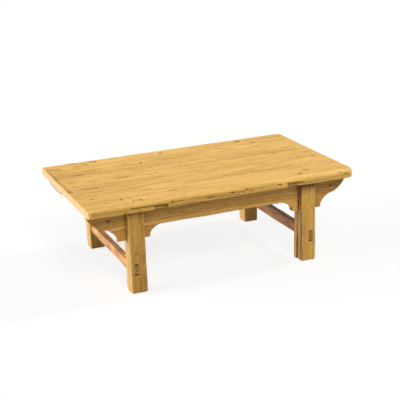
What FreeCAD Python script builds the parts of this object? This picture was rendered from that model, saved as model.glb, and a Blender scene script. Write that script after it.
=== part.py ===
import FreeCAD, Part
import os
from FreeCAD import Vector

# A low kang table in old elm: a top of two boards on four upright legs set in from its ends. A slot in the
# head of each leg takes the long apron and, under it, a spandrel. A stretcher ties the two legs of each end.
# Lengths are in millimetres. X runs along the table, Y from front to back, and Z up from the floor.

# Top: two boards, tongued and grooved along a slanting seam
top_length = 960.0
top_width = 585.0
top_thickness = 27.0
upper_edge_radius = 9.0
lower_edge_radius = 6.0
front_left_corner_radius = 16.0
front_right_corner_radius = 30.0
back_corner_radius = 8.0
front_board_left_width = 336.0
front_board_right_width = 272.0
tongue_thickness = 8.0
tongue_depth = 9.0

# Belly: the rough swelling left under the left end of the back board
belly_depth = 10.0
belly_length = 110.0
belly_side_share = 0.8
belly_crown_share = 0.3

# Battens: cross bars slid into dovetail housings from the back edge of the top
batten_spacing = 190.0
batten_width = 36.0
batten_drop = 14.0
dovetail_neck = 24.0
dovetail_flare = 3.0
housing_depth = 8.0
housing_stop = 45.0
batten_apron_gap = 12.0

# Legs: the two cheeks stand in front of and behind the slot for the apron
leg_width = 56.0
front_cheek = 23.0
back_cheek = 14.5
leg_end_inset = 139.0
leg_edge_inset = 30.5
leg_clear_height = 182.0
leg_arris_radius = 3.0
foot_chamfer = 2.0
leg_tenon_shoulder = 2.5
leg_tenon_width = 28.0
leg_tenon_thickness_share = 0.6

# Aprons and spandrels: sawn to one outline, so that each curve runs on across the joint between them
apron_thickness = 16.0
apron_height = 70.0
apron_end_inset = 5.0
ear_turn_share = 0.578
ear_turn_height_share = 0.13
ear_bulge_share = -0.13
ear_cove_share = 0.14
spandrel_height = 37.0
spandrel_outer_wing = 32.0
spandrel_inner_wing = 25.5
spandrel_lip = 12.5
inner_cove_reach = 29.0
inner_cove_share = 0.1

# Stretchers: low rails with tenons right through the legs, each end wedged above and below
stretcher_thickness = 24.0
stretcher_tenon_height = 32.0
stretcher_shoulder_right = 4.0
stretcher_inset = 5.0
stretcher_rise_left = 68.0
stretcher_rise_right = 74.0
stretcher_arris_radius = 2.0
stretcher_tenon_outer_shoulder = 7.0
stretcher_tenon_inner_shoulder = 1.0
wedge_thickness = 5.0
wedge_tip = 1.0
wedge_length = 30.0

# Fits and cuts
fit_clearance = 0.2
overrun = 20.0
parallel_share = 0.9

# Places that follow from the sizes above
apron_low = leg_clear_height + spandrel_height
underside = apron_low + apron_height
table_height = underside + top_thickness
half_length = top_length / 2
half_width = top_width / 2
leg_outer_x = half_length - leg_end_inset
leg_inner_x = leg_outer_x - leg_width
leg_face_y = -half_width + leg_edge_inset
apron_face_y = leg_face_y + front_cheek
apron_back_y = apron_face_y + apron_thickness
leg_back_y = apron_back_y + back_cheek
stretcher_outer_x = leg_outer_x - stretcher_inset
stretcher_inner_x = stretcher_outer_x - stretcher_thickness
tenon_outer_x = stretcher_outer_x - stretcher_tenon_outer_shoulder
tenon_inner_x = stretcher_inner_x + stretcher_tenon_inner_shoulder

ALONG = Vector(1, 0, 0)
ACROSS = Vector(0, 1, 0)
UPRIGHT = Vector(0, 0, 1)
CENTRE = Vector(0, 0, 0)


def block(x, y, z):
    """Block between its lowest and highest place along each axis."""
    return Part.makeBox(x[1] - x[0], y[1] - y[0], z[1] - z[0], Vector(x[0], y[0], z[0]))


def prism(corners, sweep):
    """Prism from the corners of a flat outline, pushed along a vector."""
    return Part.Face(Part.makePolygon(corners + corners[:1])).extrude(sweep)


def straight_edges(shape, axis):
    """Straight edges of a shape that run along an axis."""
    lines = [edge for edge in shape.Edges if isinstance(edge.Curve, Part.Line)]
    return [edge for edge in lines if abs(edge.Curve.Direction.dot(axis)) > parallel_share]


def bowed_edge(start, end, bow_share):
    """Arc in an upright plane whose middle stands off its chord by a share of the chord."""
    chord = end - start
    middle = (start + end) * 0.5 + chord.cross(ACROSS) * bow_share
    return Part.Arc(start, middle, end).toShape()


def at_corner(shape, side, face):
    """Piece made for the front right corner, mirrored to another corner of the table."""
    if side == "left":
        shape = shape.mirror(CENTRE, ALONG)
    if face == "back":
        shape = shape.mirror(CENTRE, ACROSS)
    return shape


def seam_y(x):
    """Place of the seam between the boards at a distance along the table."""
    middle_width = (front_board_left_width + front_board_right_width) / 2
    taper = (front_board_right_width - front_board_left_width) / top_length
    return -half_width + middle_width + taper * x


def beside_seam(front_y, back_y, z):
    """Slice of the whole length between two lines in plan, each a function of the place along the table."""
    ends = (-half_length - overrun, half_length + overrun)
    front = [Vector(x, front_y(x), z[0]) for x in ends]
    back = [Vector(x, back_y(x), z[0]) for x in reversed(ends)]
    return prism(front + back, UPRIGHT * (z[1] - z[0]))


def top_blank():
    """Whole top before it is parted: long edges rounded over, corners rounded in plan, ends sawn square."""
    span_x = (-half_length, half_length)
    span_y = (-half_width, half_width)
    slab = block(span_x, span_y, (underside, table_height))
    upper = [edge for edge in straight_edges(slab, ALONG) if edge.CenterOfMass.z > underside]
    slab = slab.makeFillet(upper_edge_radius, upper)
    below = underside + lower_edge_radius
    lower = [edge for edge in straight_edges(slab, ALONG) if edge.CenterOfMass.z < below]
    slab = slab.makeFillet(lower_edge_radius, lower)
    plan = block(span_x, span_y, (underside - overrun, table_height + overrun))
    corners = (
        (-1, -1, front_left_corner_radius),
        (1, -1, front_right_corner_radius),
        (-1, 1, back_corner_radius),
        (1, 1, back_corner_radius),
    )
    for x_side, y_side, radius in corners:
        places = [(edge, edge.CenterOfMass) for edge in straight_edges(plan, UPRIGHT)]
        corner = [edge for edge, place in places if place.x * x_side > 0 and place.y * y_side > 0]
        plan = plan.makeFillet(radius, corner)
    return slab.common(plan)


def tongue(clearance):
    """Tongue of the back board, or with a clearance the groove that it fits."""
    middle = underside + top_thickness / 2
    reach = tongue_thickness / 2 + clearance
    depth = tongue_depth + clearance
    return beside_seam(lambda x: seam_y(x) - depth, seam_y, (middle - reach, middle + reach))


def belly():
    """Swelling under the back board, deepest at the sawn end and faded out towards the leg."""
    side_y = seam_y(-half_length)
    far_y = -leg_back_y
    low = Vector(-half_length, side_y, underside - belly_depth * belly_side_share)
    crown_y = side_y + (far_y - side_y) * belly_crown_share
    crown = Vector(-half_length, crown_y, underside - belly_depth)
    far = Vector(-half_length, far_y, underside)
    near = Vector(-half_length, side_y, underside)
    edges = [Part.makeLine(near, low), Part.Arc(low, crown, far).toShape(), Part.makeLine(far, near)]
    swelling = Part.Face(Part.Wire(edges)).extrude(ALONG * belly_length)
    fade = [
        Vector(-half_length, side_y, underside),
        Vector(-half_length, side_y, underside - belly_depth),
        Vector(-half_length + belly_length, side_y, underside),
    ]
    return swelling.common(prism(fade, ACROSS * (far_y - side_y)))


def dovetail(middle_x, clearance):
    """Dovetail key of a batten as a bar through the top's back edge, or with a clearance its housing."""
    neck = dovetail_neck / 2 + clearance
    crest = neck + dovetail_flare
    stop_y = -half_width + housing_stop - clearance
    crest_z = underside + housing_depth + clearance
    section = [
        Vector(middle_x - neck, stop_y, underside),
        Vector(middle_x + neck, stop_y, underside),
        Vector(middle_x + crest, stop_y, crest_z),
        Vector(middle_x - crest, stop_y, crest_z),
    ]
    return prism(section, ACROSS * (half_width + overrun - stop_y))


def batten(middle_x, blank):
    """Cross batten: dovetail key flush with the back edge of the top, and a bar between the aprons."""
    reach = -apron_back_y - batten_apron_gap
    edge = batten_width / 2
    bar = block((middle_x - edge, middle_x + edge), (-reach, reach), (underside - batten_drop, underside))
    return bar.fuse(dovetail(middle_x, 0).common(blank)).removeSplitter()


def leg_tenons(clearance):
    """Two tenons on a leg head, staggered across the slot, or with a clearance their mortises."""
    low_inner_x = leg_inner_x + leg_tenon_shoulder
    low_outer_x = leg_outer_x - leg_tenon_shoulder - leg_tenon_width
    tenons = []
    for front_y, back_y, low_x in (
        (leg_face_y, apron_face_y, low_inner_x),
        (apron_back_y, leg_back_y, low_outer_x),
    ):
        x = (low_x - clearance, low_x + leg_tenon_width + clearance)
        half = (back_y - front_y) * leg_tenon_thickness_share / 2 + clearance
        middle = (front_y + back_y) / 2
        tenons.append(block(x, (middle - half, middle + half), (underside, table_height + clearance)))
    return tenons


def wedges(rise):
    """Wedges above and below a stretcher's tenon, driven in from the leg's front face."""
    shapes = []
    for base_z, way in ((rise + stretcher_tenon_height, 1), (rise, -1)):
        section = [
            Vector(tenon_inner_x, leg_face_y, base_z),
            Vector(tenon_inner_x, leg_face_y, base_z + way * wedge_thickness),
            Vector(tenon_inner_x, leg_face_y + wedge_length, base_z + way * wedge_tip),
            Vector(tenon_inner_x, leg_face_y + wedge_length, base_z),
        ]
        shapes.append(prism(section, ALONG * (tenon_outer_x - tenon_inner_x)))
    return shapes


def leg(rise):
    """Front right leg, mortised for a stretcher's tenon at its height above the floor."""
    post = block((leg_inner_x, leg_outer_x), (leg_face_y, leg_back_y), (0, underside))
    post = post.makeFillet(leg_arris_radius, straight_edges(post, UPRIGHT))
    sole = [edge for edge in post.Edges if edge.BoundBox.ZMax < foot_chamfer]
    post = post.makeChamfer(foot_chamfer, sole)
    slot_x = (leg_inner_x - overrun, leg_outer_x + overrun)
    slot_y = (apron_face_y - fit_clearance, apron_back_y + fit_clearance)
    slot = block(slot_x, slot_y, (leg_clear_height, underside + overrun))
    mortise_x = (tenon_inner_x - fit_clearance, tenon_outer_x + fit_clearance)
    mortise_z = (rise - fit_clearance, rise + stretcher_tenon_height + fit_clearance)
    mortise = block(mortise_x, (leg_face_y - overrun, leg_back_y + overrun), mortise_z)
    post = post.cut([slot, mortise] + wedges(rise))
    return post.fuse(leg_tenons(0)).removeSplitter()


def apron_outline():
    """Right half of an apron with its spandrel, as one board sawn to the outline that the two share."""
    points = {
        "middle": (0, apron_low),
        "cove_start": (leg_inner_x - spandrel_inner_wing - inner_cove_reach, apron_low),
        "inner_lip": (leg_inner_x - spandrel_inner_wing, leg_clear_height + spandrel_lip),
        "inner_foot": (leg_inner_x - spandrel_inner_wing, leg_clear_height),
        "outer_foot": (leg_outer_x + spandrel_outer_wing, leg_clear_height),
        "outer_lip": (leg_outer_x + spandrel_outer_wing, leg_clear_height + spandrel_lip),
        "ear_turn": (
            leg_outer_x + (leg_end_inset - apron_end_inset) * ear_turn_share,
            apron_low + apron_height * ear_turn_height_share,
        ),
        "ear_tip": (half_length - apron_end_inset, underside),
        "top": (0, underside),
    }
    at = {name: Vector(x, apron_face_y, z) for name, (x, z) in points.items()}
    edges = [
        Part.makeLine(at["middle"], at["cove_start"]),
        bowed_edge(at["cove_start"], at["inner_lip"], inner_cove_share),
        Part.makeLine(at["inner_lip"], at["inner_foot"]),
        Part.makeLine(at["inner_foot"], at["outer_foot"]),
        Part.makeLine(at["outer_foot"], at["outer_lip"]),
        bowed_edge(at["outer_lip"], at["ear_turn"], ear_cove_share),
        bowed_edge(at["ear_turn"], at["ear_tip"], ear_bulge_share),
        Part.makeLine(at["ear_tip"], at["top"]),
        Part.makeLine(at["top"], at["middle"]),
    ]
    return Part.Face(Part.Wire(edges)).extrude(ACROSS * apron_thickness)


def between_heights(low, high):
    """Block over the whole table between two heights."""
    span_x = (-half_length - overrun, half_length + overrun)
    span_y = (-half_width - overrun, half_width + overrun)
    return block(span_x, span_y, (low, high))


def apron():
    """Front apron, from ear to ear."""
    half = apron_outline().common(between_heights(apron_low, underside))
    return half.fuse(at_corner(half, "left", "front")).removeSplitter()


def spandrel():
    """Front right spandrel, seated on the floor of the leg's slot under the apron."""
    return apron_outline().common(between_heights(leg_clear_height, apron_low))


def stretcher(rise, shoulder):
    """Right stretcher: a rail between the legs with a tenon at each end flush with the leg's outer face."""
    tenon_z = (rise, rise + stretcher_tenon_height)
    rail_z = (tenon_z[0] - shoulder, tenon_z[1] + shoulder)
    rail = block((stretcher_inner_x, stretcher_outer_x), (leg_back_y, -leg_back_y), rail_z)
    rail = rail.makeFillet(stretcher_arris_radius, straight_edges(rail, ACROSS))
    front_tenon = block((tenon_inner_x, tenon_outer_x), (leg_face_y, leg_back_y), tenon_z)
    back_tenon = at_corner(front_tenon, "right", "back")
    return rail.fuse([front_tenon, back_tenon]).removeSplitter()


def build():
    """Every piece of the table, by name."""
    rises = {"left": stretcher_rise_left, "right": stretcher_rise_right}
    shoulders = {"left": 0, "right": stretcher_shoulder_right}
    faces = ("front", "back")
    blank = top_blank()
    batten_places = {"left": -batten_spacing, "middle": 0, "right": batten_spacing}
    housings = [dovetail(x, fit_clearance) for x in batten_places.values()]
    mortises = {
        face: [at_corner(tenon, side, face) for side in rises for tenon in leg_tenons(fit_clearance)]
        for face in faces
    }
    before = beside_seam(lambda x: -half_width - overrun, seam_y, (underside, table_height))
    behind = beside_seam(seam_y, lambda x: half_width + overrun, (underside, table_height))
    front_board = blank.common(before).cut([tongue(fit_clearance)] + housings + mortises["front"])
    back_board = blank.common(behind).fuse([tongue(0).common(blank), belly()])

    pieces = {
        "top_board_front": front_board,
        "top_board_back": back_board.cut(housings + mortises["back"]).removeSplitter(),
    }
    for name, x in batten_places.items():
        pieces["top_batten_" + name] = batten(x, blank)
    for face in faces:
        pieces["apron_" + face] = at_corner(apron(), "right", face)
    all_wedges = []
    for side, rise in rises.items():
        pieces["stretcher_" + side] = at_corner(stretcher(rise, shoulders[side]), side, "front")
        for face in faces:
            pieces["leg_" + face + "_" + side] = at_corner(leg(rise), side, face)
            pieces["spandrel_" + face + "_" + side] = at_corner(spandrel(), side, face)
            all_wedges += [at_corner(wedge, side, face) for wedge in wedges(rise)]
    pieces["stretcher_wedges"] = Part.makeCompound(all_wedges)
    return pieces


os.makedirs("parts", exist_ok=True)
for node, shape in build().items():
    shape.exportStep("parts/" + node + ".step")
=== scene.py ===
import math
from functools import partialmethod

import bpy
import numpy as np
from mathutils import Matrix, Vector


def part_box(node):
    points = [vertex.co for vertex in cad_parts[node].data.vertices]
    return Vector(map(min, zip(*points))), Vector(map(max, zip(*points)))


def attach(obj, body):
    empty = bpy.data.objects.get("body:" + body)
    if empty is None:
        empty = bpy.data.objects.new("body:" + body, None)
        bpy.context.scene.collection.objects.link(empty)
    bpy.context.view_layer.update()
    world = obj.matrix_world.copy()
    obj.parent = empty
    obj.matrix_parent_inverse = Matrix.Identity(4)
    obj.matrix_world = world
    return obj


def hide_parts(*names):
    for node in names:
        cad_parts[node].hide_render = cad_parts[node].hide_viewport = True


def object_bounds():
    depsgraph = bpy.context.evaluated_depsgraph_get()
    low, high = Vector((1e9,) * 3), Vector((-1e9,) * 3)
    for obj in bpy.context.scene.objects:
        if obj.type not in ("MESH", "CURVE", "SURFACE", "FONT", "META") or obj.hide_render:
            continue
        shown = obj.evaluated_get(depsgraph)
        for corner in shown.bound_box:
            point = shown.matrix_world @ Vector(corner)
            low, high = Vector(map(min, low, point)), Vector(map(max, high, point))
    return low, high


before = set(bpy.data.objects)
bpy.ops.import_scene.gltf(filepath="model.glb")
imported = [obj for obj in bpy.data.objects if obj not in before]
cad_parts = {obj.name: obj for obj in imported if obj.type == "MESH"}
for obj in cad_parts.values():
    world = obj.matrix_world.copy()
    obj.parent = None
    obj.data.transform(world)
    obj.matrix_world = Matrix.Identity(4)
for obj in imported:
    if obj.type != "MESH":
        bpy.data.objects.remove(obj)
cad_low, cad_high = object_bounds()

# Legs: four upright elm posts, sawn square and worn round at arrises and feet. A slot in each head takes
# the apron and the spandrel. Two tenons stand up through the top, and a mortise takes the stretcher.
# Lengths are in metres. X runs along the table, Y from front to back, and Z up from the floor.
ALONG, ACROSS, UPRIGHT = 0, 1, 2
SIDES = ("left", "right")
FACES = ("front", "back")
OUTWARD = {"left": -1, "right": 1}
INWARD = {"front": 1, "back": -1}


def noise(points, lump, seed):
    """Smooth noise from -1 to 1 at each point, with lumps of a given size along each axis."""
    grid = np.asarray(points) / np.asarray(lump)
    cell = np.floor(grid).astype(np.int64)
    part = grid - cell
    part = part * part * (3 - 2 * part)
    total = np.zeros(len(grid))
    axis_primes = np.array([73856093, 19349663, 83492791])
    seed_prime, mixing_prime = 40503, 1274126177
    for corner in np.ndindex(2, 2, 2):
        key = (cell + corner) @ axis_primes + seed * seed_prime
        key = (key ^ (key >> 13)) * mixing_prime
        key = key ^ (key >> 16)
        weight = np.prod(np.where(corner, part, 1 - part), axis=1)
        total += ((key & 0xFFFF) / 0x7FFF - 1) * weight
    return total


def line_noise(values, lump, seed):
    """Smooth noise from -1 to 1 along a line, with lumps of a given length."""
    nought = np.zeros(len(values))
    return noise(np.stack([values, nought, nought], -1), (lump, 1, 1), seed)


def ease(low, high, value):
    """Smooth step from 0 at low to 1 at high."""
    t = np.clip((value - low) / (high - low), 0, 1)
    return t * t * (3 - 2 * t)


def steps(length, cell, corner):
    """Shares along one side of a section: even cells, closer set within the rounded corners."""
    count = max(2, round((length - 2 * corner) / cell))
    middle = np.linspace(corner, length - corner, count + 1)
    rim = corner * np.array([0, 0.3, 0.65])
    return np.concatenate([rim, middle, length - rim[::-1]]) / length


def places(low, high, cell, rim):
    """Places along a bar: even cells, closer set at the rounded ends."""
    return low + (high - low) * steps(high - low, cell, rim)


def end_inset(spots, radius):
    """How far a section draws in near the ends of a bar, where the end arrises are worn round."""
    gap = np.minimum(spots - spots[0], spots[-1] - spots)
    left = np.clip(radius - gap, 0, radius)
    return radius - np.sqrt(radius * radius - left * left)


arris_wear = 0.35
arris_lump = 0.035


def uneven(spots, radius, seed):
    """Radius of each of four arrises along a bar, worn more in some places than in others."""
    wear = [line_noise(spots, arris_lump, seed + k) for k in range(4)]
    return radius * (1 + arris_wear * np.stack(wear, -1))


most_round = 0.48


def rounded(low, high, shares, radii):
    """Points at shares of a rectangle, at each place of a bar, with a radius at each of its four arrises."""
    span = high - low
    points = low[:, None] + span[:, None] * shares
    for k, (u, v) in enumerate(((0, 0), (1, 0), (1, 1), (0, 1))):
        inward = np.array([1 - 2 * u, 1 - 2 * v])
        radius = np.minimum(radii[:, k], most_round * span.min(axis=1))
        centre = low + span * (u, v) + radius[:, None] * inward
        off = points - centre[:, None]
        inside = ((off * inward) < 0).all(axis=-1)
        reach = np.maximum(np.linalg.norm(off, axis=-1), 1e-9)
        drawn = np.abs(off).max(axis=-1) / reach
        points = np.where(inside[..., None], centre[:, None] + off * drawn[..., None], points)
    return points


def bar(axis, spots, low, high, cell, rim, radii):
    """Points and quads of a closed bar: a ring at each place along its axis, and a grid over each end."""
    u_steps, v_steps = (steps(span, cell, rim) for span in (high - low).max(axis=0))
    nu, nv = len(u_steps) - 1, len(v_steps) - 1
    ring = np.concatenate([
        np.stack([u_steps[:-1], np.zeros(nu)], -1),
        np.stack([np.ones(nv), v_steps[:-1]], -1),
        np.stack([u_steps[:0:-1], np.ones(nu)], -1),
        np.stack([np.zeros(nv), v_steps[:0:-1]], -1),
    ])
    size, count = len(ring), len(spots)
    index = np.arange(count * size).reshape(count, size)
    turned = np.roll(index, -1, axis=1)
    quads = [np.stack([index[:-1], turned[:-1], turned[1:], index[1:]], -1).reshape(-1, 4)]
    inner = np.stack(np.meshgrid(u_steps, v_steps, indexing="ij"), -1)[1:-1, 1:-1].reshape(-1, 2)
    inner_index = np.arange(len(inner)).reshape(nu - 1, nv - 1)
    ends = [0, count - 1]
    for turn, k in enumerate(ends):
        number = np.zeros((nu + 1, nv + 1), int)
        number[:, 0] = np.arange(nu + 1)
        number[nu, :] = nu + np.arange(nv + 1)
        number[::-1, nv] = nu + nv + np.arange(nu + 1)
        number[0, ::-1] = (2 * nu + nv + np.arange(nv + 1)) % size
        number += k * size
        number[1:-1, 1:-1] = count * size + turn * len(inner) + inner_index
        corners = [number[:-1, :-1], number[1:, :-1], number[1:, 1:], number[:-1, 1:]]
        grid = np.stack(corners, -1).reshape(-1, 4)
        quads.append(grid if turn else grid[:, ::-1])
    sides = rounded(low, high, ring, radii).reshape(-1, 2)
    caps = rounded(low[ends], high[ends], inner, radii[ends]).reshape(-1, 2)
    flat = np.concatenate([sides, caps])
    points = np.empty((len(flat), 3))
    points[:, axis] = np.concatenate([np.repeat(spots, size), np.repeat(spots[ends], len(inner))])
    points[:, (axis + 1) % 3] = flat[:, 0]
    points[:, (axis + 2) % 3] = flat[:, 1]
    return points, np.concatenate(quads)


ring_stretch = 2.4


def worn_bar(axis, low, high, cell, arris, end_round, seed):
    """Bar of one section between two corners, its arrises and ends worn round unevenly."""
    u, v = (axis + 1) % 3, (axis + 2) % 3
    spots = places(low[axis], high[axis], ring_stretch * cell, max(end_round, arris))
    inset = end_inset(spots, end_round)[:, None]
    near = np.array([low[u], low[v]]) + inset
    far = np.array([high[u], high[v]]) - inset
    return bar(axis, spots, near, far, cell, arris, uneven(spots, arris, seed))


def placed(name, data):
    """New object in the scene, at the origin."""
    piece = bpy.data.objects.new(name, data)
    bpy.context.scene.collection.objects.link(piece)
    return piece


def made(name, points, quads):
    """New object at the origin with its place in its mesh."""
    mesh = bpy.data.meshes.new(name)
    mesh.from_pydata(points.tolist(), [], quads.tolist())
    return placed(name, mesh)


def worked(piece):
    """New mesh of a piece with its modifiers worked into it."""
    return bpy.data.meshes.new_from_object(piece.evaluated_get(bpy.context.evaluated_depsgraph_get()))


def fetch(items, name, width=1, kind=float):
    """One stored value, or one row of them, for each item of a mesh."""
    values = np.empty(len(items) * width, kind)
    items.foreach_get(name, values)
    return values.reshape(-1, width) if width > 1 else values


def read(piece):
    """Points of a piece's mesh."""
    return fetch(piece.data.vertices, "co", 3)


def write(piece, points):
    """Moves the points of a piece's mesh."""
    piece.data.vertices.foreach_set("co", points.ravel())
    piece.data.update()


wander_width = 0.09
ring_drift = 0.7
ring_drift_length = 3.1


def growth(points, wood):
    """Count of growth rings outward from the pith, which wanders as it runs along the grain."""
    grain = wood["grain"]
    lump = np.full(3, wander_width)
    lump[grain] = wood["wander_length"]
    distance = np.zeros(len(points))
    for k in (1, 2):
        axis = (grain + k) % 3
        sway = wood["wander"] * noise(points, lump, wood["seed"] + k)
        distance += (points[:, axis] - wood["pith"][axis] + sway) ** 2
    count = np.sqrt(distance) / wood["pitch"]
    return count + ring_drift * line_noise(count, ring_drift_length, wood["seed"])


mark_crook = 0.0014
mark_crook_lump = 0.014


def smudges(points, marks):
    """Soft marks along short crooked runs: each has a start, an end, half widths and a strength."""
    crook = [noise(points, np.full(3, mark_crook_lump), 7 + k) for k in range(3)]
    bent = points + mark_crook * np.stack(crook, -1)
    total = np.zeros(len(points))
    for start, end, reach, strength in marks:
        reach = np.broadcast_to(reach, 3)
        run = (np.array(end) - start) / reach
        ahead = (bent - start) / reach
        share = np.clip(ahead @ run / max(run @ run, 1e-9), 0, 1)
        away = ((ahead - share[:, None] * run) ** 2).sum(axis=1)
        total = np.maximum(total, strength * np.exp(-away))
    return total


hard_band = (0.25, 0.85)
hard_band_end = (0.93, 1)
hollow_width = 0.035
hollow_length = 0.12
end_ragged = 0.0006
ragged_lump = 0.009


def weather(piece, wood, axis, relief, hollow, cuts=()):
    """Wears a bar towards its middle line: soft bands in the rings, wide hollows, and cracks or dents."""
    points = read(piece)
    low, high = points.min(axis=0), points.max(axis=0)
    outward = (2 * points - low - high) / (high - low)
    outward[:, axis] = 0
    phase = growth(points, wood) % 1
    soft = 1 - ease(*hard_band, phase) * (1 - ease(*hard_band_end, phase))
    lump = np.full(3, hollow_width)
    lump[wood["grain"]] = hollow_length
    wide = 0.5 + 0.5 * noise(points, lump, wood["seed"] + 5)
    patch = 0.55 + 0.45 * noise(points, lump * 1.7, wood["seed"] + 6)
    depth = relief * soft * patch + hollow * wide
    points -= outward * depth[:, None] + outward ** 5 * smudges(points, cuts)[:, None]
    reach = np.minimum(points[:, axis] - low[axis], high[axis] - points[:, axis])
    side = np.sign(2 * points[:, axis] - low[axis] - high[axis])
    ragged = 0.5 + 0.5 * noise(points, np.full(3, ragged_lump), wood["seed"] + 8)
    points[:, axis] -= side * ragged * end_ragged * ease(10 * end_ragged, 0, reach)
    write(piece, points)


def block(low, high, shape=None):
    """Points and quads of a block, its corners moved by a shape function where it isn't square."""
    corners = np.where(list(np.ndindex(2, 2, 2)), high, low)
    quads = np.array([(0, 1, 3, 2), (4, 6, 7, 5), (0, 4, 5, 1), (2, 3, 7, 6), (0, 2, 6, 4), (1, 5, 7, 3)])
    return shape(corners) if shape else corners, quads


def tool(*shapes):
    """One cutter, or one addition, from a few shapes that lie apart."""
    starts = np.cumsum([0] + [len(points) for points, _ in shapes])
    points = np.concatenate([points for points, _ in shapes])
    quads = np.concatenate([quads + start for (_, quads), start in zip(shapes, starts)])
    return made("tool", points, quads)


def fit(piece, operation, other):
    """Cuts another shape out of a piece, or joins it on, and clears that shape away."""
    modifier = piece.modifiers.new("fit", "BOOLEAN")
    modifier.operation = operation
    modifier.solver = "EXACT"
    modifier.object = other
    mesh = worked(piece)
    piece.modifiers.clear()
    old = piece.data
    piece.data = mesh
    bpy.data.meshes.remove(old)
    other_mesh = other.data
    bpy.data.objects.remove(other)
    bpy.data.meshes.remove(other_mesh)


def crest(piece):
    """How sharply the surface turns at each point: above zero on a worn arris, below zero in a groove."""
    mesh = piece.data
    sizes = fetch(mesh.polygons, "loop_total", 1, int)
    normals = fetch(mesh.polygons, "normal", 3)
    centres = fetch(mesh.polygons, "center", 3)
    face_of = np.repeat(np.arange(len(sizes)), sizes)
    order = np.argsort(fetch(mesh.loops, "edge_index", 1, int), kind="stable")
    first, second = face_of[order[0::2]], face_of[order[1::2]]
    turn = np.arccos(np.clip((normals[first] * normals[second]).sum(1), -1, 1))
    outward = ((normals[second] - normals[first]) * (centres[second] - centres[first])).sum(1)
    turn = np.where(outward > 0, turn, -turn)
    ends = fetch(mesh.edges, "vertices", 2, int)
    near, far = ends.ravel(), ends[:, ::-1].ravel()
    count = len(mesh.vertices)
    share = np.bincount(near, minlength=count)
    value = np.bincount(near, weights=np.repeat(turn, 2), minlength=count) * 2 / share
    for _ in range(2):
        around = np.bincount(near, weights=value[far], minlength=count) / share
        value = 0.5 * value + 0.5 * around
    return value


def give(piece, name, values):
    """Stores one number for each point of a piece, for its material to read."""
    attribute = piece.data.attributes.new(name, "FLOAT", "POINT")
    attribute.data.foreach_set("value", values.astype(np.float32))


sharp_angle = math.radians(38)


def dress(piece, wood, marks, material, node):
    """Gives a finished piece its growth rings, wear, marks and material, and sets it in the frame."""
    points = read(piece)
    normals = fetch(piece.data.vertex_normals, "vector", 3)
    give(piece, "rings", growth(points, wood))
    give(piece, "crest", crest(piece))
    give(piece, "end_grain", np.abs(normals[:, wood["grain"]]))
    give(piece, "stain_and_shade", smudges(points, marks))
    give(piece, "shade", np.zeros(len(points)) + wood["shade"](points))
    piece.data.shade_smooth()
    piece.data.set_sharp_from_angle(angle=sharp_angle)
    piece.data.materials.clear()
    piece.data.materials.append(material)
    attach(piece, "root")
    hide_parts(node)


def linear(red, green, blue):
    """Colour socket value from the red, green and blue of a colour as it looks on a screen, 0 to 255."""
    channels = [value / 255 for value in (red, green, blue)]
    lit = [c / 12.92 if c <= 0.04045 else ((c + 0.055) / 1.055) ** 2.4 for c in channels]
    return (*lit, 1)


class Nodes:
    """Nodes of one tree: adds them, feeds them, and does sums on their values."""

    def __init__(self, tree):
        self.tree = tree

    def feed(self, value, socket):
        """Links a value to a socket, or sets the socket to it."""
        if isinstance(value, bpy.types.NodeSocket):
            self.tree.links.new(value, socket)
        else:
            socket.default_value = value

    def add(self, kind, inputs=None, **settings):
        """New node, a shader node unless its kind says otherwise, with its inputs fed."""
        new = self.tree.nodes.new(kind if "Node" in kind else "ShaderNode" + kind)
        for name, value in settings.items():
            setattr(new, name, value)
        for name, value in (inputs or {}).items():
            self.feed(value, new.inputs[name])
        return new

    def calc(self, operation, first, second=0.0):
        """Result of one sum on one or two values."""
        return self.add("Math", {0: first, 1: second}, operation=operation).outputs[0]

    plus = partialmethod(calc, "ADD")
    less = partialmethod(calc, "SUBTRACT")
    times = partialmethod(calc, "MULTIPLY")
    most = partialmethod(calc, "MAXIMUM")

    def vector(self, operation, inputs):
        """Result of one sum on vectors."""
        return self.add("VectorMath", inputs, operation=operation).outputs[0]

    def spread(self, value, low, high):
        """Value stretched so that low becomes 0 and high becomes 1, with soft ends."""
        inputs = {"Value": value, "From Min": low, "From Max": high}
        return self.add("MapRange", inputs, interpolation_type="SMOOTHSTEP").outputs["Result"]

    def blend(self, share, first, second):
        """Second colour laid over the first by a share."""
        return self.add("Mix", {"Factor": share, 6: first, 7: second}, data_type="RGBA").outputs[2]

    def noise(self, place, scale, detail):
        """Noise on object coordinates, stretched by a scale vector."""
        moved = self.vector("MULTIPLY", {0: place, 1: scale})
        inputs = {"Vector": moved, "Scale": 1.0, "Detail": detail, "Roughness": 0.6}
        return self.add("TexNoise", inputs).outputs["Fac"]

    def grain_noise(self, place, grain, along, side, detail):
        """Noise that runs with the grain: so many features in a metre along it, and so many across it."""
        longer = self.vector("SCALE", {0: grain, "Scale": along - side})
        return self.noise(place, self.vector("ADD", {0: longer, 1: (side, side, side)}), detail)


def fresh_nodes(owner):
    """Nodes of a material or a world, with none in it yet."""
    owner.use_nodes = True
    owner.node_tree.nodes.clear()
    return Nodes(owner.node_tree)


def new_group(name, inputs, outputs, kind="ShaderNodeTree"):
    """Empty group with named sockets of each kind: its nodes, what it is given, and its results."""
    tree = bpy.data.node_groups.new(name, kind)
    for way, sockets in (("INPUT", inputs), ("OUTPUT", outputs)):
        for value, names in sockets.items():
            for socket in names:
                tree.interface.new_socket(socket, in_out=way, socket_type="NodeSocket" + value)
    nodes = Nodes(tree)
    return nodes, nodes.add("NodeGroupInput").outputs, nodes.add("NodeGroupOutput").inputs


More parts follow.
